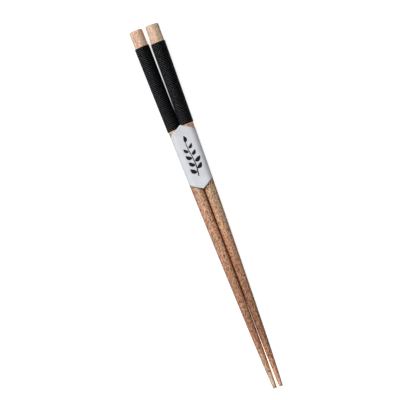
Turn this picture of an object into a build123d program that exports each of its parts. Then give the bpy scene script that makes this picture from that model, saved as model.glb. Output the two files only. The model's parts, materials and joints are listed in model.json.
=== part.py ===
from build123d import *
import os
from math import atan, degrees

os.makedirs("parts", exist_ok=True)

# Lengths are in millimetres. A station is a distance along a stick from its butt end.
# The pair lies flat: Y runs from the tips to the butts, Z is up, and X is across the pair.

# Wooden stick: turned round, nearly straight along the handle, then closing in to a slim tip
stick_length = 225.0
butt_diameter = 8.12
handle_diameter = 7.40
handle_from_butt = 62.0
grip_diameter = 6.86
grip_from_butt = 106.0
shank_diameter = 5.30
shank_from_tip = 60.0
neck_diameter = 4.0
neck_from_tip = 25.0
tip_diameter = 2.3
butt_edge_radius = 0.9
tip_edge_radius = 0.45

# Thread wound round each handle, turn beside turn. The right winding starts later and ends
# sooner. The real turns are about 0.73 apart, and the ridges here are a little coarser.
winding_start = 9.9
winding_length = 52.4
right_winding_inset = 1.2
ridge_pitch = 1.04
thread_thickness = 0.45
groove_depth = 0.2
winding_clearance = 0.02

# The narrowest space between the two sticks
stick_gap = 0.04

# Paper band glued round both sticks, with a pointed front and a lap behind
paper_thickness = 0.10
paper_clearance = 0.02
bare_wood = 3.4
point_past_winding = 1.4
band_side_length = 30.0
front_inset = 0.5
lap_width = 4.8

WINDINGS = {
    "left": (winding_start, winding_length),
    "right": (winding_start + right_winding_inset, winding_length - 2 * right_winding_inset),
}

# The stick's side, drawn as (radius, station)
stick_side = Spline(
    (butt_diameter / 2, 0),
    (handle_diameter / 2, handle_from_butt),
    (grip_diameter / 2, grip_from_butt),
    (shank_diameter / 2, stick_length - shank_from_tip),
    (neck_diameter / 2, stick_length - neck_from_tip),
    (tip_diameter / 2, stick_length),
)


def share_of_side(station):
    """How far along the stick's side a station lies, from 0 to 1, found by halving."""
    near, far = 0.0, 1.0
    for _ in range(30):
        middle = (near + far) / 2
        if (stick_side @ middle).Y < station:
            near = middle
        else:
            far = middle
    return far


def wood_radius(station):
    """Radius of the bare wood at a station."""
    return (stick_side @ share_of_side(station)).X


def ridge_stations(side):
    """Stations of the grooves and crests of a winding, in turn from end to end."""
    start, length = WINDINGS[side]
    halves = 2 * round(length / ridge_pitch)
    return [start + length * half / halves for half in range(halves + 1)]


def rest_line():
    """Height of a stick's axis at its butt, and how much it drops for each millimetre.

    A lying stick touches at the rim of its winding and at the belly of its shank.
    """
    rim = ridge_stations("left")[-2]
    rim_radius = wood_radius(rim) + thread_thickness
    steps = 120
    bellies = [rim + (stick_length - rim) * step / steps for step in range(steps // 10, steps)]
    slope = min((rim_radius - wood_radius(belly)) / (belly - rim) for belly in bellies)
    return rim_radius + slope * rim, slope


rest_height, rest_slope = rest_line()


def stick_plane(sign, station=0.0):
    """Plane across a stick at a station, with its normal along the stick to the tip.

    The sign is -1 for the left stick and 1 for the right one. The sticks lean on each
    other just as each leans on the table, so one line gives both the height of an axis
    and its distance from the middle of the pair.
    """
    middle = (sign * (rest_height + stick_gap / 2), 0, rest_height)
    plane = Plane(origin=middle, x_dir=(1, 0, 0), z_dir=(-sign * rest_slope, -1, -rest_slope))
    return plane.offset(station)


def turned(*side_lines):
    """Round solid along Z whose side follows lines of (radius, station) points."""
    first, last = side_lines[0] @ 0, side_lines[-1] @ 1
    ends = Polyline(last, (0, last.Y), (0, first.Y), first)
    return revolve(Plane.XZ * make_face([*side_lines, ends]), Axis.Z)


def chopstick():
    """One stick, standing on its butt along Z, with its two rims rounded over."""
    butt, tip = stick_side @ 0, stick_side @ 1
    start = share_of_side(butt_edge_radius)
    end = share_of_side(stick_length - tip_edge_radius)
    butt_rim = Bezier((butt.X - butt_edge_radius, butt.Y), butt, stick_side @ start)
    tip_rim = Bezier(stick_side @ end, tip, (tip.X - tip_edge_radius, tip.Y))
    return turned(butt_rim, stick_side.trim(start, end), tip_rim)


def thread_winding(side):
    """Sleeve of thread on one handle, a row of ridges with a groove between each two."""
    stations = ridge_stations(side)
    outside = []
    for half, station in enumerate(stations):
        height = thread_thickness if half % 2 else thread_thickness - groove_depth
        outside.append((wood_radius(station) + height, station))

    first = share_of_side(stations[0] - ridge_pitch)
    last = share_of_side(stations[-1] + ridge_pitch)
    bore_side = Pos(winding_clearance, 0) * stick_side.trim(first, last)
    return turned(Polyline(*outside)) - turned(bore_side)


def band_stations():
    """Stations of the band's top point, top edge, bottom edge and bottom point."""
    last_turn = ridge_stations("left")[-1]
    top_edge = last_turn + bare_wood
    bottom_edge = top_edge + band_side_length
    point_height = bare_wood + point_past_winding
    return top_edge - point_height, top_edge, bottom_edge, bottom_edge + point_height


def drawn_round_both(standoff, first, last):
    """Solid drawn tight round both sticks between two stations, standing off their wood."""
    narrowing = (wood_radius(first) - wood_radius(last)) / (last - first)
    reach = 2 * butt_diameter
    outline = Pos(-reach / 2, 0) * SlotCenterToCenter(reach, 2 * (wood_radius(first) + standoff))
    across = stick_plane(1, first)
    whole = extrude(across * outline, last - first, taper=degrees(atan(narrowing)))
    half = split(whole, bisect_by=Plane.YZ, keep=Keep.TOP)
    return half + mirror(half, about=Plane.YZ)


def paper_blank():
    """Block that trims the band: pointed above the middle of the pair, straight below."""
    top_point, top_edge, bottom_edge, bottom_point = band_stations()
    beyond = 2 * butt_diameter
    split_height = stick_plane(1, (top_edge + bottom_edge) / 2).origin.Z
    half_front = stick_plane(1, top_edge).origin.X + wood_radius(top_edge) - front_inset
    corners = [
        (0, -top_point),
        (half_front, -top_edge),
        (beyond, -top_edge),
        (beyond, -bottom_edge),
        (half_front, -bottom_edge),
        (0, -bottom_point),
    ]
    front_half = make_face(Polyline(*corners, close=True))
    front = front_half + mirror(front_half, about=Plane.YZ)
    back = Pos(0, -(top_edge + bottom_edge) / 2) * Rectangle(2 * beyond, band_side_length)
    level = Plane.XY.offset(split_height)
    return extrude(level * front, beyond) + extrude(level * back, -beyond)


def paper_band():
    """Paper loop with a pointed front, and its glued lap under the pair."""
    top_point, top_edge, bottom_edge, bottom_point = band_stations()
    trim = butt_diameter / 8
    first, last = top_point - trim, bottom_point + trim
    swell = wood_radius((first + last) / 2) - (wood_radius(first) + wood_radius(last)) / 2
    inside = swell + paper_clearance

    outer = drawn_round_both(inside + paper_thickness, first, last)
    loop = outer - drawn_round_both(inside, first, last)

    # The inner end of the strip lies on the outer end, in the hollow under the two sticks
    mid_paper = drawn_round_both(inside + paper_thickness / 2, first, last)
    lap = mid_paper - drawn_round_both(inside - paper_thickness, first, last)
    lap_strip = Pos(0, -(top_edge + bottom_edge) / 2) * Rectangle(lap_width, last - first)
    lap = lap & extrude(lap_strip, rest_height - butt_diameter / 4)
    return (loop + lap) & paper_blank()


pair = {"paper_band": paper_band()}
for side, sign in (("left", -1), ("right", 1)):
    place = stick_plane(sign).location
    pair[f"{side}_chopstick"] = place * chopstick()
    pair[f"{side}_thread_wrap"] = place * thread_winding(side)

# The origin is the middle of the pair, on the table
box = pair["left_chopstick"].bounding_box()
for solid in pair.values():
    box = box.add(solid.bounding_box())
to_origin = Pos(-box.center().X, -box.center().Y, -box.min.Z)

for name, solid in pair.items():
    placed = to_origin * solid
    export_step(placed, f"parts/{name}.step")
    size = placed.bounding_box().size
    print(f"{name}: {placed.volume:.1f} mm3, {size.X:.2f} x {size.Y:.2f} x {size.Z:.2f} mm")
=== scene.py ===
import json
import math

import bmesh
import bpy
import numpy as np
from mathutils import Matrix, Vector, noise


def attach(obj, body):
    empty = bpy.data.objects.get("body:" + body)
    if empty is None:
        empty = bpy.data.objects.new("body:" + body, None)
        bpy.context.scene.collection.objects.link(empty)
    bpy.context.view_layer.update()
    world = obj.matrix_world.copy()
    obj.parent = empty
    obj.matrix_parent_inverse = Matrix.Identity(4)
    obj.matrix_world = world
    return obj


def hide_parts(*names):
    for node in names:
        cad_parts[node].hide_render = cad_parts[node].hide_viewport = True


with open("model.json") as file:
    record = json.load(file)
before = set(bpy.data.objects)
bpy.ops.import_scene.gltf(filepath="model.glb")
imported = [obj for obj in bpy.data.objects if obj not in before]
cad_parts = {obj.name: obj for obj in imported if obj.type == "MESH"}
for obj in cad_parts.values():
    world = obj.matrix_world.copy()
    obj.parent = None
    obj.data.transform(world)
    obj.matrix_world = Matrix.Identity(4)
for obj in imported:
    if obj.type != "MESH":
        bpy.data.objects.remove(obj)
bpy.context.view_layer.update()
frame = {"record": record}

# The two sticks. Each is one piece of straight-grained reddish hardwood, turned round and
# narrowing from a blunt butt to a slim tip, then sanded and given a thin satin coat. They lie
# side by side and lean together towards their tips.
stick_length = 0.225
turned_stations = [0.0, 0.062, 0.106, 0.165, 0.200, 0.225]
turned_diameters = [0.00812, 0.00740, 0.00686, 0.00530, 0.00400, 0.00230]
butt_edge_radius = 0.0009
tip_edge_radius = 0.00045
stick_rings = 110
stick_sides = 96
turned_slopes = np.gradient(turned_diameters, turned_stations, edge_order=2)


def wood_radius(station):
    """Radius of the bare wood at a station, on a smooth line through the turned sizes."""
    last = len(turned_stations) - 2
    here = min(max(int(np.searchsorted(turned_stations, station)) - 1, 0), last)
    run = turned_stations[here + 1] - turned_stations[here]
    part = (station - turned_stations[here]) / run
    left_over = 1 - part
    across = (
        turned_diameters[here] * left_over**2 * (1 + 2 * part)
        + turned_diameters[here + 1] * part**2 * (1 + 2 * left_over)
        + turned_slopes[here] * run * part * left_over**2
        - turned_slopes[here + 1] * run * part**2 * left_over
    )
    return across / 2


def lie_of_stick(side):
    """Where a stick lies: its local Z runs from the butt to the tip, and its local Y is up."""
    butt = next(m for m in frame["record"]["mounts"] if m["name"] == f"{side}_butt_face")
    to_tip = -Vector(butt["axis"])
    turned = to_tip.to_track_quat("Z", "Y").to_matrix().to_4x4()
    return Matrix.Translation(butt["pos_m"]) @ turned


def finished(name, bm, lie=Matrix()):
    """Turns a bmesh into a piece of the pair, with its place in its mesh."""
    bmesh.ops.transform(bm, matrix=lie, verts=bm.verts)
    mesh = bpy.data.meshes.new(name)
    bm.to_mesh(mesh)
    bm.free()
    piece = bpy.data.objects.new(name, mesh)
    bpy.context.scene.collection.objects.link(piece)
    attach(piece, "root")
    return piece


def turned_stick():
    """Solid of one stick along Z, spun from its side line, with both rims rounded over."""
    bm = bmesh.new()
    line = [bm.verts.new((0, 0, 0))]
    for ring in range(stick_rings + 1):
        station = stick_length * ring / stick_rings
        line.append(bm.verts.new((wood_radius(station), 0, station)))
    line.append(bm.verts.new((0, 0, stick_length)))
    side_line = [bm.edges.new(pair) for pair in zip(line, line[1:])]
    bmesh.ops.spin(bm, geom=line + side_line, cent=(0, 0, 0), axis=(0, 0, 1),
                   angle=math.tau, steps=stick_sides, use_merge=True)
    bmesh.ops.remove_doubles(bm, verts=bm.verts, dist=1e-7)
    bmesh.ops.recalc_face_normals(bm, faces=bm.faces)
    for station, edge_radius in ((0, butt_edge_radius), (stick_length, tip_edge_radius)):
        rim = [edge for edge in bm.edges
               if all(abs(v.co.z - station) < 1e-6 and v.co.xy.length > 1e-4 for v in edge.verts)]
        bmesh.ops.bevel(bm, geom=rim, offset=edge_radius, segments=6, profile=0.5,
                        affect="EDGES", material=-1, clamp_overlap=True)
    for face in bm.faces:
        face.smooth = face.calc_area() < 1e-6 and abs(face.normal.z) < 0.999
    return bm


def seen(red, green, blue):
    """A colour as it looks on a screen, turned into the linear colour that shaders use."""
    shares = [level / 255 for level in (red, green, blue)]
    linear = [s / 12.92 if s <= 0.04045 else ((s + 0.055) / 1.055) ** 2.4 for s in shares]
    return (*linear, 1.0)


def shade(tree, kind, inputs=None, **settings):
    """Adds a shader node with its settings, and feeds or sets its inputs."""
    made = tree.nodes.new("ShaderNode" + kind)
    for name, value in settings.items():
        setattr(made, name, value)
    for socket, value in (inputs or {}).items():
        if isinstance(value, bpy.types.NodeSocket):
            tree.links.new(value, made.inputs[socket])
        else:
            made.inputs[socket].default_value = value
    return made


def worked(tree, operation, *amounts):
    """Result of one Math node on its amounts."""
    return shade(tree, "Math", dict(enumerate(amounts)), operation=operation).outputs[0]


def spread(tree, amount, low, high, at_low=0.0, at_high=1.0):
    """A number that goes from at_low to at_high while an amount goes from low to high."""
    return shade(tree, "MapRange", {"Value": amount, "From Min": low, "From Max": high,
                                    "To Min": at_low, "To Max": at_high}).outputs["Result"]


def tinted(tree, colour, tint, share=1.0):
    """A colour multiplied by a tint, wholly or for a share."""
    return shade(tree, "Mix", {"Factor": share, 6: colour, 7: tint},
                 data_type="RGBA", blend_type="MULTIPLY").outputs[2]


def ramp(tree, amount, stops):
    """Colour that changes with an amount, through (place, colour) stops."""
    made = shade(tree, "ValToRGB", {"Fac": amount})
    elements = made.color_ramp.elements
    while len(elements) < len(stops):
        elements.new(1.0)
    for element, (place, colour) in zip(elements, stops):
        element.position = place
        element.color = colour if isinstance(colour, tuple) else (colour, colour, colour, 1)
    return made.outputs["Color"]


def effect(name, takes, gives):
    """Starts a node group, with (name, socket kind) rows for what it takes and gives."""
    tree = bpy.data.node_groups.new(name, "ShaderNodeTree")
    for in_out, rows in (("INPUT", takes), ("OUTPUT", gives)):
        for socket_name, kind in rows:
            tree.interface.new_socket(socket_name, in_out=in_out, socket_type="NodeSocket" + kind)
    return tree, tree.nodes.new("NodeGroupInput"), tree.nodes.new("NodeGroupOutput")


def grain_effect():
    """Straight grain: soft streaks, growth lines and short dark pores, all along the stick.

    It takes a place on the stick as across, up and station, in metres, how open the pores are
    there, and a shift that gives each stick a grain of its own.
    """
    tree, given, gives = effect(
        "straight_grain",
        [("Place", "Vector"), ("Colour", "Color"), ("Openness", "Float"), ("Shift", "Vector")],
        [("Colour", "Color"), ("Dull", "Float"), ("Satin", "Float"), ("Height", "Float")],
    )
    own = shade(tree, "VectorMath", {0: given.outputs["Place"], 1: given.outputs["Shift"]},
                operation="ADD").outputs[0]

    def drawn_out(share):
        """Places squeezed along the stick, so that a pattern on them is drawn out."""
        return shade(tree, "VectorMath", {0: own, 1: (1, 1, share)},
                     operation="MULTIPLY").outputs[0]

    patches = shade(tree, "TexNoise", {"Vector": drawn_out(0.13), "Scale": 330.0,
                                       "Detail": 2.0, "Roughness": 0.5}).outputs["Fac"]
    fine = shade(tree, "TexNoise", {"Vector": drawn_out(0.05), "Scale": 1300.0,
                                    "Detail": 3.0, "Roughness": 0.6}).outputs["Fac"]
    rings = shade(tree, "TexWave", {"Vector": drawn_out(0.02), "Scale": 150.0,
                                    "Distortion": 2.4, "Detail": 2.0, "Detail Scale": 1.4},
                  wave_type="RINGS", rings_direction="Z").outputs["Fac"]
    silk_lines = shade(tree, "TexNoise", {"Vector": drawn_out(0.03), "Scale": 3600.0,
                                          "Detail": 2.0, "Roughness": 0.6}).outputs["Fac"]
    cells = shade(tree, "TexVoronoi", {"Vector": drawn_out(0.28), "Scale": 2050.0,
                                       "Randomness": 1.0}).outputs["Distance"]
    open_pores = worked(tree, "MULTIPLY_ADD", fine, 0.5, cells)
    hair_pores = shade(tree, "TexNoise", {"Vector": drawn_out(0.20), "Scale": 2900.0,
                                          "Detail": 2.0, "Roughness": 0.6}).outputs["Fac"]

    reddened = ramp(tree, patches, [(0.36, (1.05, 0.87, 0.80, 1)), (0.50, (1.03, 1.0, 0.98, 1)),
                                    (0.64, (0.98, 1.05, 0.98, 1))])
    lined = ramp(tree, rings, [(0.0, (0.84, 0.78, 0.74, 1)), (0.35, 1.0), (1.0, 1.06)])
    hairs = ramp(tree, fine, [(0.30, 0.78), (0.50, 1.02), (0.72, 1.18)])
    silk = ramp(tree, silk_lines, [(0.34, 0.88), (0.66, 1.10)])
    pores = ramp(tree, open_pores, [(0.48, (0.05, 0.02, 0.01, 1)), (0.60, 1.02)])
    pricks = ramp(tree, hair_pores, [(0.36, 1.22), (0.50, 1.02), (0.62, (0.42, 0.30, 0.23, 1))])
    colour = given.outputs["Colour"]
    for layer in (reddened, lined, hairs, silk):
        colour = tinted(tree, colour, layer)
    for layer in (pores, pricks):
        colour = tinted(tree, colour, layer, given.outputs["Openness"])
    closed = worked(tree, "MULTIPLY", pores, pricks)
    tree.links.new(colour, gives.inputs["Colour"])
    tree.links.new(ramp(tree, closed, [(0.3, 0.85), (1.0, 0.50)]), gives.inputs["Dull"])
    tree.links.new(ramp(tree, closed, [(0.6, 0.0), (1.0, 0.38)]), gives.inputs["Satin"])
    tree.links.new(closed, gives.inputs["Height"])
    return tree


def between_shade_effect():
    """Painted shade in the wood's colour where little light gets in: between the sticks and below
    the paper.

    It takes a place in the pair, and how far up it is from the axis of its own stick.
    """
    tree, given, gives = effect("painted_between_shade", [("Place", "Vector"), ("Up", "Float")],
                                [("Colour", "Color")])
    place = shade(tree, "SeparateXYZ", {"Vector": given.outputs["Place"]})
    aside = worked(tree, "ABSOLUTE", place.outputs["X"])
    meeting = spread(tree, aside, *meeting_width)
    paper_edge = worked(tree, "MULTIPLY_ADD", aside, paper_slant, paper_point)
    from_paper = worked(tree, "SUBTRACT", paper_edge, place.outputs["Y"])
    clear = spread(tree, worked(tree, "ABSOLUTE", from_paper), *paper_shade)
    clear = worked(tree, "MAXIMUM", clear, spread(tree, given.outputs["Up"], *front_to_back))
    both = tinted(tree, ramp(tree, meeting, [(0.0, painted_meeting_shade_tone), (1.0, 1.0)]),
                  ramp(tree, clear, [(0.0, painted_paper_shadow_tone), (1.0, 1.0)]))
    tree.links.new(both, gives.inputs["Colour"])
    return tree


def outer_shade_effect():
    """The wood's colour with painted shade: darker low on the outer side of a stick below the band.

    It takes how far out from the middle of the pair and how far up a place is, both from the
    axis of its stick, and its share of the way from the butt to the tip.
    """
    tree, given, gives = effect(
        "painted_outer_shade",
        [("Colour", "Color"), ("Out", "Float"), ("Up", "Float"), ("Share", "Float")],
        [("Colour", "Color")],
    )
    radius = ramp(tree, given.outputs["Share"],
                  [(station / stick_length, diameter / 2)
                   for station, diameter in zip(turned_stations, turned_diameters)])
    rise = worked(tree, "DIVIDE", given.outputs["Up"], radius)
    darker = worked(tree, "MULTIPLY", spread(tree, rise, *flank_rise, 1.0, 0.0),
                    spread(tree, given.outputs["Out"], 0.0, flank_start))
    below_band = worked(tree, "GREATER_THAN", given.outputs["Share"], flank_from)
    darker = worked(tree, "MULTIPLY", darker, below_band)
    tree.links.new(tinted(tree, given.outputs["Colour"], painted_flank_tone, darker),
                   gives.inputs["Colour"])
    return tree


def place_on_stick(tree, in_pair, lie):
    """A place in the pair, measured on a stick: across, up from its axis, and from its butt."""
    to_stick = lie.inverted()
    return shade(tree, "Mapping", {"Vector": in_pair, "Location": to_stick.translation,
                                   "Rotation": to_stick.to_euler()}).outputs["Vector"]


def wood(side, lie, stops, shift):
    """Satin hardwood for one stick, with its colour from the butt to the tip."""
    material = bpy.data.materials.new(f"{side}_wood")
    material.use_nodes = True
    tree = material.node_tree
    shader = tree.nodes["Principled BSDF"]
    in_pair = shade(tree, "TexCoord").outputs["Object"]
    place = place_on_stick(tree, in_pair, lie)
    on_stick = shade(tree, "SeparateXYZ", {"Vector": place})
    share = worked(tree, "DIVIDE", on_stick.outputs["Z"], stick_length)
    grain = shade(tree, "Group", {
        "Place": place,
        "Colour": ramp(tree, share, stops),
        "Openness": spread(tree, share, 0.0, filled_share, butt_openness, 1.0),
        "Shift": shift,
    }, node_tree=straight_grain)
    # Painted shade: darker where the sticks meet, and a painted shadow under the paper's lower
    # edge.
    between_shade_colour = shade(tree, "Group", {"Place": in_pair, "Up": on_stick.outputs["Y"]},
                    node_tree=painted_between_shade)
    # Painted shade: the outer side of the stick is darker lower down, below the band.
    flank = shade(tree, "Group", {
        "Colour": tinted(tree, grain.outputs["Colour"], between_shade_colour.outputs["Colour"]),
        "Out": worked(tree, "MULTIPLY", on_stick.outputs["X"], outwards[side]),
        "Up": on_stick.outputs["Y"],
        "Share": share,
    }, node_tree=painted_outer_shade)
    tree.links.new(flank.outputs["Colour"], shader.inputs["Base Color"])
    tree.links.new(grain.outputs["Dull"], shader.inputs["Roughness"])
    tree.links.new(grain.outputs["Satin"], shader.inputs["Coat Weight"])
    bump = shade(tree, "Bump", {"Strength": 0.35, "Distance": 0.00005,
                                "Height": grain.outputs["Height"]})
    tree.links.new(bump.outputs["Normal"], shader.inputs["Normal"])
    shader.inputs["Specular IOR Level"].default_value = 0.22
    shader.inputs["Coat Roughness"].default_value = 0.42
    return material


filled_share = 0.3
butt_openness = 0.4
# Painted shade in the wood: where the two sticks meet, and a painted shadow under the paper's lower
# edge.
meeting_width = (0.0002, 0.0008)
painted_meeting_shade_tone = (0.44, 0.24, 0.13, 1)
paper_slant = 0.70
paper_point = 0.0117
paper_shade = (0.0004, 0.0010)
front_to_back = (0.0005, -0.0005)
painted_paper_shadow_tone = (0.14, 0.07, 0.04, 1)
# Painted shade on the lower outer side of each stick below the band.
outwards = {"left": -1.0, "right": 1.0}
flank_start = 0.0005
flank_rise = (0.70, 0.93)
flank_from = 0.40
painted_flank_tone = (0.78, 0.76, 0.74, 1)
straight_grain = grain_effect()
painted_between_shade = between_shade_effect()
painted_outer_shade = outer_shade_effect()
wood_tones = {
    "left": [(0.02, seen(224, 194, 172)), (0.49, seen(208, 166, 138)), (0.59, seen(206, 160, 132)),
             (0.84, seen(178, 128, 102)), (0.94, seen(208, 168, 140)), (1.0, seen(222, 200, 176))],
    "right": [(0.02, seen(216, 187, 164)), (0.49, seen(200, 162, 132)), (0.59, seen(198, 157, 127)),
              (0.84, seen(158, 110, 82)), (0.94, seen(198, 153, 123)), (1.0, seen(212, 178, 154))],
}
grain_shifts = {"left": (0.014, 0.021, 0.0), "right": (-0.017, 0.026, 1.7)}
lies = {}
for side in ("left", "right"):
    lies[side] = lie_of_stick(side)
    stick = finished(f"{side}_stick", turned_stick(), lies[side])
    stick.data.materials.append(wood(side, lies[side], wood_tones[side], grain_shifts[side]))
    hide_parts(f"{side}_chopstick")

# The thread windings. Each handle is wound with one waxed black thread, turn beside turn, from
# near the butt to just above the band. The first turns are drawn in over a small shoulder, and
# both ends lie underneath, where the last one is cut, tucked in and glued.
thread_pitch = 0.00073
thread_height = 0.00043
thread_fullness = 0.998
pressed_flat = 0.5
lay_length = 0.0029
winding_places = {"left": (0.0100, 0.0529), "right": (0.0107, 0.0512)}
shoulder_length = 0.0010
shoulder_start = 0.35
section_sides = 10
steps_in_turn = 60
lift_from_wood = 0.00002
hand_tremor = 0.00002
tremor_turns = 2.7
tucked_share = 0.12
tucked_height = 0.3
fleck_crests = (0.66, 0.98)
# Painted glints: pale flecks on the strand flanks, brighter at the left of each handle.
painted_glint_tone = seen(77, 78, 82)
glint_fade_across = (-0.0018, 0.0014)
faintest_glint = 0.32


def wound_thread(start, length):
    """One long thread wound round Z as a close helix that follows the stick's taper."""
    turns = round(length / thread_pitch)
    pitch = length / turns
    core = wood_radius(start) + lift_from_wood
    bm = bmesh.new()
    section = bmesh.ops.create_circle(bm, segments=section_sides, radius=0.5)["verts"]
    for vert in section:
        vert.co.x = math.copysign(0.5 * abs(2 * vert.co.x) ** pressed_flat, vert.co.x)
    bmesh.ops.rotate(bm, verts=section, matrix=Matrix.Rotation(math.pi / 2, 3, "X"))
    bmesh.ops.scale(bm, verts=section, vec=(thread_height, 1, pitch * thread_fullness))
    bmesh.ops.translate(bm, verts=section, vec=(core + thread_height / 2, 0, start + pitch / 2))
    bmesh.ops.spin(bm, geom=section + bm.edges[:], cent=(0, 0, 0), axis=(0, 0, 1),
                   dvec=(0, 0, pitch / steps_in_turn), angle=math.tau, steps=steps_in_turn)

    along = bm.verts.layers.float.new("thread_along")
    around = bm.verts.layers.float.new("thread_around")
    for index, vert in enumerate(bm.verts):
        step, corner = divmod(index, section_sides)
        vert[along] = step / steps_in_turn * math.tau * core
        vert[around] = corner / section_sides
    first_turn = bm.verts[:] + bm.edges[:] + bm.faces[:]
    for turn in range(1, turns - 1):
        copied = bmesh.ops.duplicate(bm, geom=first_turn)["geom"]
        next_turn = [part for part in copied if isinstance(part, bmesh.types.BMVert)]
        bmesh.ops.translate(bm, verts=next_turn, vec=(0, 0, turn * pitch))
        for vert in next_turn:
            vert[along] += turn * math.tau * core
    bmesh.ops.remove_doubles(bm, verts=bm.verts, dist=1e-7)

    for vert in bm.verts:
        station = min(max(vert.co.z, start), start + length)
        above = vert.co.xy.length - core
        into_shoulder = min((station - start) / shoulder_length, 1)
        rise = math.sqrt(1 - (1 - into_shoulder) ** 2)
        above *= shoulder_start + (1 - shoulder_start) * rise
        turns_made = vert[along] / (math.tau * core)
        above *= min(1, tucked_height + (turns - 1 - turns_made) / tucked_share)
        tremor = hand_tremor * noise.noise(Vector((turns_made / tremor_turns, 0.5, start * 1000)))
        if above > thread_height / 4:
            above -= abs(tremor)
        vert.co.xy = vert.co.xy.normalized() * (wood_radius(station) + lift_from_wood + above)
    bmesh.ops.rotate(bm, verts=bm.verts, matrix=Matrix.Rotation(-math.pi / 2, 3, "Z"))
    bmesh.ops.holes_fill(bm, edges=[e for e in bm.edges if e.is_boundary], sides=section_sides)
    bmesh.ops.recalc_face_normals(bm, faces=bm.faces)
    for face in bm.faces:
        face.smooth = True
    return bm


def thread_finish(lie, start, length):
    """Waxed black thread: two strands twisted together, a little browner at the lower end.

    Pale painted glints lie on the flanks of the strands, painted brighter at the left of a handle.
    """
    material = bpy.data.materials.new("black_thread")
    material.use_nodes = True
    tree = material.node_tree
    shader = tree.nodes["Principled BSDF"]
    along = shade(tree, "Attribute", attribute_name="thread_along").outputs["Fac"]
    around = shade(tree, "Attribute", attribute_name="thread_around").outputs["Fac"]
    twist = worked(tree, "ADD", worked(tree, "DIVIDE", along, lay_length), around)
    angle = worked(tree, "MULTIPLY", twist, 2 * math.tau)
    strands = worked(tree, "SINE", angle)
    flanks = worked(tree, "COSINE", angle)

    place = place_on_stick(tree, shade(tree, "TexCoord").outputs["Object"], lie)
    on_stick = shade(tree, "SeparateXYZ", {"Vector": place})
    down = spread(tree, on_stick.outputs["Z"], start, start + length)
    # Painted light: the glints are brighter at the left of a handle, where the lamps stand.
    glint_side_share = spread(tree, on_stick.outputs["X"], *glint_fade_across, 1.0, faintest_glint)
    fuzz = shade(tree, "TexNoise", {"Vector": place, "Scale": 1400.0, "Detail": 3.0}).outputs["Fac"]
    black = ramp(tree, down, [(0.0, seen(3, 4, 4)), (0.7, seen(4, 4, 5)), (1.0, seen(15, 10, 8))])
    crests = worked(tree, "MULTIPLY_ADD", flanks, 0.5, fuzz)
    fleck_start, fleck_full = fleck_crests
    painted_glints = ramp(tree, crests, [(fleck_start, 0.0), (fleck_full, 1.0)])
    colour = shade(tree, "Mix", {"Factor": worked(tree, "MULTIPLY", painted_glints, glint_side_share),
                                 6: black, 7: painted_glint_tone}, data_type="RGBA").outputs[2]
    shine = ramp(tree, crests, [(fleck_start, 0.0), (fleck_full, 0.16)])
    tree.links.new(colour, shader.inputs["Base Color"])
    tree.links.new(ramp(tree, crests, [(0.0, 0.60), (1.0, 0.30)]), shader.inputs["Roughness"])
    tree.links.new(shine, shader.inputs["Coat Weight"])
    shader.inputs["Specular IOR Level"].default_value = 0.01
    shader.inputs["Coat Roughness"].default_value = 0.26
    bump = shade(tree, "Bump", {"Strength": 1.0, "Distance": 0.00011, "Height": strands})
    tree.links.new(bump.outputs["Normal"], shader.inputs["Normal"])
    return material


for side, (start, length) in winding_places.items():
    winding = finished(f"{side}_winding", wound_thread(start, length), lies[side])
    winding.data.materials.append(thread_finish(lies[side], start, length))
    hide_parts(f"{side}_thread_wrap")

# The paper band. One strip of smooth white paper, cut with a point above and below on its front,
# is drawn round both sticks and glued behind with a short lap. Its two points stand free of the
# wood by a hair.
paper_thickness = 0.0001
paper_clearance = 0.00004
band_top = 0.0657
band_bottom = 0.0957
point_height = 0.0048
shoulder_reach = 1.02
lap_width = 0.0048
lap_drop = 1.15
shoulder_columns = 20
band_rows = 56
top_lift = 0.0007
bottom_lift = 0.0009
flare_run = 0.0014
flare_growth = 1.1
ripple = 0.00003


def pair_at(station):
    """Half the distance between the sticks' axes, and the height, Y and X midway between them."""
    left, right = (lies[side] @ Vector((0, 0, station)) for side in ("left", "right"))
    height, y, middle = (left.z + right.z) / 2, (left.y + right.y) / 2, (left.x + right.x) / 2
    return (right.x - left.x) / 2, height, y, middle


def drawn_round_pair(across, station, above):
    """Place of a point of the flat strip once it is drawn round both sticks.

    Across is measured on the strip from the middle of its front, and above is outwards.
    """
    half_gap, height, y, middle = pair_at(station)
    bend = wood_radius(station) + paper_clearance
    radius = bend + above
    side = math.copysign(1, across)
    run = abs(across)
    if run <= half_gap:
        return Vector((middle + across, y, height + radius))
    angle = (run - half_gap) / bend
    if angle <= math.pi:
        return Vector((middle + side * (half_gap + radius * math.sin(angle)), y,
                       height + radius * math.cos(angle)))
    past = run - half_gap - math.pi * bend
    return Vector((middle + side * (half_gap - past), y, height - radius))


def paper_rise(across, station):
    """How far the paper stands off its tight path: its ends flare in front, and it ripples."""
    angle = max(0, abs(across) - pair_at(station)[0]) / wood_radius(station)
    in_front = 0.5 + 0.5 * math.cos(min(angle, math.pi))
    past_edge = max(0, band_top + flare_run - station, station - band_bottom + flare_run)
    lift = top_lift if station < (band_top + band_bottom) / 2 else bottom_lift
    curl = lift * in_front * (past_edge / (point_height + flare_run)) ** flare_growth
    return curl + ripple * noise.noise(Vector((across * 160, station * 110, 0.3)))


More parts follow.
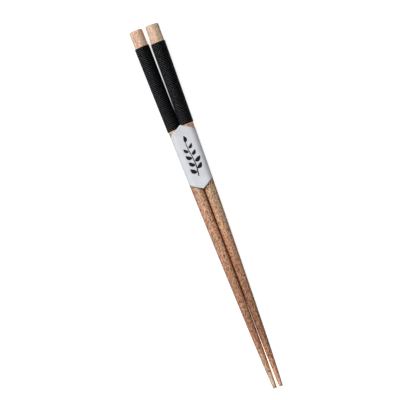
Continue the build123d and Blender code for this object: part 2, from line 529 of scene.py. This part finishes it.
def paper_strip():
    """The glued strip: a grid with its ends drawn to points, bent round the pair."""
    half_gap = pair_at(band_top)[0]
    bend = wood_radius(band_top) + paper_clearance
    shoulder = half_gap + bend * shoulder_reach
    half_strip = 2 * half_gap + math.pi * bend + lap_width / 2
    lap_start = half_strip - 1.5 * lap_width
    column = shoulder / shoulder_columns
    columns = 2 * round(half_strip / column)
    bm = bmesh.new()
    bmesh.ops.create_grid(bm, x_segments=columns, y_segments=band_rows, size=0.5, calc_uvs=True)
    for vert in bm.verts:
        across = vert.co.x * columns * column
        to_point = max(0, 1 - abs(across) / shoulder)
        reach = (band_bottom - band_top) / 2 + point_height * to_point
        station = (band_top + band_bottom) / 2 - 2 * vert.co.y * reach
        above = paper_thickness / 2 + paper_rise(across, station)
        if across < 0:
            into_lap = min(1, max(0, (-across - lap_start) / lap_width))
            above -= lap_drop * paper_thickness * into_lap
        vert.co = drawn_round_pair(across, station, above)
    bmesh.ops.recalc_face_normals(bm, faces=bm.faces)
    if max(bm.faces, key=lambda face: face.calc_center_median().z).normal.z < 0:
        bmesh.ops.reverse_faces(bm, faces=bm.faces)
    bmesh.ops.solidify(bm, geom=bm.faces, thickness=paper_thickness)
    for face in bm.faces:
        face.smooth = face.calc_area() > 6e-8
    return bm


def paper_finish():
    """Smooth uncoated paper with faint fibres and a little mottle."""
    material = bpy.data.materials.new("white_paper")
    material.use_nodes = True
    tree = material.node_tree
    shader = tree.nodes["Principled BSDF"]
    place = shade(tree, "TexCoord").outputs["Object"]
    mottle = shade(tree, "TexNoise", {"Vector": place, "Scale": 260.0,
                                      "Detail": 4.0}).outputs["Fac"]
    fibres = shade(tree, "TexNoise", {"Vector": place, "Scale": 2600.0, "Detail": 3.0,
                                      "Distortion": 1.2}).outputs["Fac"]
    colour = ramp(tree, mottle, [(0.3, seen(209, 211, 217)), (0.7, seen(216, 218, 224))])
    tree.links.new(colour, shader.inputs["Base Color"])
    tree.links.new(ramp(tree, fibres, [(0.3, 0.62), (0.7, 0.74)]), shader.inputs["Roughness"])
    bump = shade(tree, "Bump", {"Strength": 0.25, "Distance": 0.00003, "Height": fibres})
    tree.links.new(bump.outputs["Normal"], shader.inputs["Normal"])
    return material


band = finished("paper_strip", paper_strip())
band.data.materials.append(paper_finish())
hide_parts("paper_band")

# The ornament on the front of the band: one plain leafy twig, printed in black ink. Its leaves
# stand in turn on its two sides, smaller towards the top, and one more is at its end.
twig_foot = 0.0925
twig_top = 0.0712
twig_sway = 0.0006
twig_width = 0.00062
leaf_pairs = 4
leaf_length = 0.0047
leaf_width = 0.0025
leaf_curve = 0.10
leaf_lean = math.radians(48)
lowest_leaf = 0.10
leafy_share = 0.80
leaf_foot_aside = 0.75
leaf_shrink = 0.3
uneven_lean = 0.22
uneven_size = 0.14
stem_foot = 1.1
stem_narrowing = 0.5
end_leaf_place = 0.98
end_leaf_lean = 0.06
end_leaf_size = 0.85
ink_thickness = 0.000012


def on_twig(share):
    """Place on the flat strip, across and by station, of a share of the way up the twig."""
    return twig_sway * math.sin(share * 1.6 * math.pi), twig_foot + (twig_top - twig_foot) * share


def printed_leaf(bm, foot, lean, size):
    """One almond leaf, flat on the strip, from its foot along its lean from straight up."""
    blade = bmesh.ops.create_grid(bm, x_segments=6, y_segments=12, size=0.5)["verts"]
    for vert in blade:
        up = vert.co.y + 0.5
        fullness = math.sin(math.pi * up**0.8) ** 0.75 if 0 < up < 1 else 0
        vert.co = Vector((vert.co.x * leaf_width * fullness * size, -up * leaf_length * size, 0))
        vert.co.x += leaf_curve * leaf_length * math.sin(math.pi * up) * math.copysign(1, lean)
    bmesh.ops.rotate(bm, verts=blade, matrix=Matrix.Rotation(lean, 3, "Z"))
    bmesh.ops.translate(bm, verts=blade, vec=(*foot, 0))


def printed_twig():
    """The whole twig: a swaying stem and its leaves, laid on the bent paper as thin ink."""
    bm = bmesh.new()
    stem = bmesh.ops.create_grid(bm, x_segments=2, y_segments=40, size=0.5)["verts"]
    for vert in stem:
        share = vert.co.y + 0.5
        across, station = on_twig(share)
        narrowed = stem_foot - stem_narrowing * share
        vert.co = Vector((across + vert.co.x * twig_width * narrowed, station, 0))
    for number in range(2 * leaf_pairs):
        share = lowest_leaf + leafy_share * number / (2 * leaf_pairs)
        side = 1 if number % 2 else -1
        across, station = on_twig(share)
        uneven = noise.noise(Vector((number * 1.7, 0.4, 0.2)))
        printed_leaf(bm, (across + side * twig_width * leaf_foot_aside, station),
                     side * (leaf_lean + uneven_lean * uneven),
                     1 - leaf_shrink * share + uneven_size * uneven)
    printed_leaf(bm, on_twig(end_leaf_place), end_leaf_lean, end_leaf_size)
    for vert in bm.verts:
        above = paper_thickness + ink_thickness / 2 + paper_rise(vert.co.x, vert.co.y)
        vert.co = drawn_round_pair(vert.co.x, vert.co.y, above)
    bmesh.ops.remove_doubles(bm, verts=bm.verts, dist=1e-7)
    bmesh.ops.recalc_face_normals(bm, faces=bm.faces)
    downward = [face for face in bm.faces if face.normal.z < 0]
    bmesh.ops.reverse_faces(bm, faces=downward)
    bmesh.ops.solidify(bm, geom=bm.faces, thickness=ink_thickness)
    return bm


ink = bpy.data.materials.new("black_ink")
ink.use_nodes = True
tree = ink.node_tree
shader = tree.nodes["Principled BSDF"]
specks = shade(tree, "TexNoise", {"Vector": shade(tree, "TexCoord").outputs["Object"],
                                  "Scale": 2400.0, "Detail": 2.0}).outputs["Fac"]
ink_tone = ramp(tree, specks, [(0.35, seen(14, 15, 17)), (0.75, seen(26, 27, 30))])
tree.links.new(ink_tone, shader.inputs["Base Color"])
tree.links.new(ramp(tree, specks, [(0.3, 0.55), (0.7, 0.7)]), shader.inputs["Roughness"])
shader.inputs["Specular IOR Level"].default_value = 0.1
twig = finished("printed_twig", printed_twig())
twig.data.materials.append(ink)

# The floor is a plain white sheet, and the air round it is white. Its glow is cut under the pair
# as painted shade: none comes up between the two sticks where they touch, and a little between
# their windings. Between the tips the glow is painted warmer and brighter, as painted light off the
# wood.
floor_size = 4.0
floor_tone = 0.30
floor_glow = 0.88
light_between = [(-0.064, 1.0), (-0.056, 0.0), (0.060, 0.0), (0.068, 0.60), (0.090, 1.0)]
beside_pair = (0.001, 0.0025)
winding_top = (0.094, 0.106)
narrow_gap = (0.00005, 0.00040)
narrow_gap_light = 0.35
glow_between = 1.13
painted_warm_glow_tips = (1.60, 1.25, 1.0, 1)
fill_strength = 0.22
bm = bmesh.new()
bmesh.ops.create_grid(bm, x_segments=1, y_segments=1, size=floor_size / 2)
mesh = bpy.data.meshes.new("floor")
bm.to_mesh(mesh)
bm.free()
floor = bpy.data.objects.new("floor", mesh)
bpy.context.scene.collection.objects.link(floor)


def seen_directly(tree):
    """1 for what the camera sees directly, in a mirror or through glass, and else 0."""
    path = shade(tree, "LightPath")
    direct = path.outputs["Is Camera Ray"]
    for other in ("Is Glossy Ray", "Is Transmission Ray"):
        direct = worked(tree, "MAXIMUM", direct, path.outputs[other])
    return direct


floor_white = bpy.data.materials.new("floor_white")
floor_white.use_nodes = True
tree = floor_white.node_tree
tree.nodes.remove(tree.nodes["Principled BSDF"])
matt = shade(tree, "BsdfDiffuse", {"Color": (floor_tone, floor_tone, floor_tone, 1)})
under_pair = shade(tree, "SeparateXYZ", {"Vector": shade(tree, "TexCoord").outputs["Object"]})
# Painted shade: the glow is cut under the pair, with a thin brighter line down the gap between the
# windings.
aside = worked(tree, "ABSOLUTE", under_pair.outputs["X"])
along = spread(tree, under_pair.outputs["Y"], -stick_length / 2, stick_length / 2)
open_ends = ramp(tree, along, [(y / stick_length + 0.5, share) for y, share in light_between])
open_sides = spread(tree, aside, *beside_pair)
past_windings = spread(tree, under_pair.outputs["Y"], *winding_top)
tip_half = worked(tree, "LESS_THAN", under_pair.outputs["Y"], 0.0)
open_middle = spread(tree, aside, *narrow_gap, 1.0, narrow_gap_light)
for wide in (past_windings, tip_half):
    open_middle = worked(tree, "MAXIMUM", open_middle, wide)
open_middle = worked(tree, "MULTIPLY", open_middle, glow_between)
between = worked(tree, "MULTIPLY", open_ends, open_middle)
lit = worked(tree, "MAXIMUM", between, open_sides)
glow_level = worked(tree, "MULTIPLY", seen_directly(tree), floor_glow)
# Painted light: a warmer glow between the tips stands in for light off the wood.
between_tips = worked(tree, "LESS_THAN", open_sides, tip_half)
glow_tone = shade(tree, "Mix", {"Factor": between_tips, 6: (1, 1, 1, 1), 7: painted_warm_glow_tips},
                  data_type="RGBA").outputs[2]
glow = shade(tree, "Emission", {"Color": glow_tone,
                                "Strength": worked(tree, "MULTIPLY", glow_level, lit)})
both = shade(tree, "AddShader", {0: matt.outputs[0], 1: glow.outputs[0]})
tree.links.new(both.outputs[0], tree.nodes["Material Output"].inputs["Surface"])
floor.data.materials.append(floor_white)

world = bpy.data.worlds.new("white_air")
bpy.context.scene.world = world
world.use_nodes = True
tree = world.node_tree
shown = worked(tree, "MULTIPLY_ADD", seen_directly(tree), 1 - fill_strength, fill_strength)
air = tree.nodes["Background"]
air.inputs["Color"].default_value = (1, 1, 1, 1)
tree.links.new(shown, air.inputs["Strength"])

# Two soft lamps light the pair: a wide one high at the upper left, and a small low one further
# to the left that gives the satin wood and the waxed thread their sheen.
lamps = {
    "overhead_softbox": ((-0.50, 0.45, 1.35), (1.30, 1.30), 0.67),
    "side_softbox": ((-1.02, 0.62, 0.84), (0.50, 0.20), 0.17),
}
for name, (place, (length, width), brightness) in lamps.items():
    lamp_data = bpy.data.lights.new(name, "AREA")
    lamp_data.shape = "RECTANGLE"
    lamp_data.size = length
    lamp_data.size_y = width
    lamp_from = Vector(place)
    lamp_data.energy = brightness * math.pi**2 * lamp_from.length**3 / lamp_from.z
    lamp = bpy.data.objects.new(name, lamp_data)
    lamp.location = lamp_from
    lamp.rotation_euler = (-lamp_from).to_track_quat("-Z", "Y").to_euler()
    bpy.context.scene.collection.objects.link(lamp)

# The camera looks straight down, turned so that the pair lies from the upper left to the lower
# right, with the butts above.
photo_size = 400
pair_centre = (210.88, 207.7)
metres_in_pixel = 0.000585
lean_of_pair = math.radians(20.57)
camera_height = 1.0
pair_height = 0.005
camera_data = bpy.data.cameras.new("camera")
camera_data.sensor_width = 36.0
camera_data.lens = 36.0 * camera_height / (photo_size * metres_in_pixel)
camera_data.dof.use_dof = False
camera = bpy.data.objects.new("camera", camera_data)
right = Vector((math.cos(lean_of_pair), -math.sin(lean_of_pair), 0))
up = Vector((math.sin(lean_of_pair), math.cos(lean_of_pair), 0))
aim = right * (photo_size / 2 - pair_centre[0]) + up * (pair_centre[1] - photo_size / 2)
camera.location = aim * metres_in_pixel + Vector((0, 0, camera_height + pair_height))
camera.rotation_euler = (0, 0, -lean_of_pair)
bpy.context.scene.collection.objects.link(camera)
bpy.context.scene.camera = camera
bpy.context.scene.view_settings.view_transform = "Standard"
